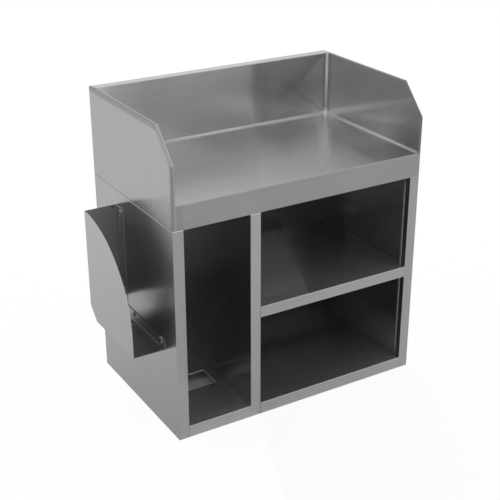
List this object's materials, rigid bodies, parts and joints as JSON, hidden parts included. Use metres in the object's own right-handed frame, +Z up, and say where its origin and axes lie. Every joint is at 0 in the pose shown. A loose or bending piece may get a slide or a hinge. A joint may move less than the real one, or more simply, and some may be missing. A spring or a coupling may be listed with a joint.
{
  "type": "condiment station cabinet",
  "caption": "Open-fronted stainless cabinet: narrow bay, wide bay with shelf, worktop with upstands on three sides and an open pocket holder on its left side.",
  "frame": {"origin": "on the floor, under the middle of the cabinet's body (the side holder is not counted)", "axes": "+Z up, the open front faces -Y, +X to the right as seen from the front; the holder is on the -X side"},
  "size_m": [1.12, 0.62, 1.12],
  "materials": {
    "body_steel": "satin, brushed along the sheet",
    "inner_steel": "satin, brushed along the sheet",
    "worktop_steel": "satin, brushed from side to side, with polished welds",
    "upstand_steel": "satin, brushed along the sheet, with polished welds",
    "holder_steel": "satin, brushed, with cut edges left bare",
    "fastener_steel": "bright, as turned"
  },
  "bodies": {
    "root": {"back_panel": "body_steel", "ceiling_panel": "inner_steel", "divider": "body_steel", "floor_channel_middle": "inner_steel", "floor_channel_right": "inner_steel", "floor_pan_left": "inner_steel", "floor_pan_right": "inner_steel", "holder_bolts": "fastener_steel", "holder_nuts": "fastener_steel", "holder_washers": "fastener_steel", "shelf": "inner_steel", "shelf_channel": "inner_steel", "shelf_support_left": "inner_steel", "shelf_support_right": "inner_steel", "side_holder": "holder_steel", "side_liner_left": "inner_steel", "side_liner_right": "inner_steel", "side_panel_left": "body_steel", "side_panel_right": "body_steel", "top_unit_bolts": "fastener_steel", "top_unit_nuts": "fastener_steel", "upstand_back": "upstand_steel", "upstand_left": "upstand_steel", "upstand_left_inner_face": "upstand_steel", "upstand_right": "upstand_steel", "upstand_right_inner_face": "upstand_steel", "worktop": "worktop_steel", "worktop_channel_front": "inner_steel", "worktop_channel_rear": "inner_steel"}
  },
  "joints": []
}
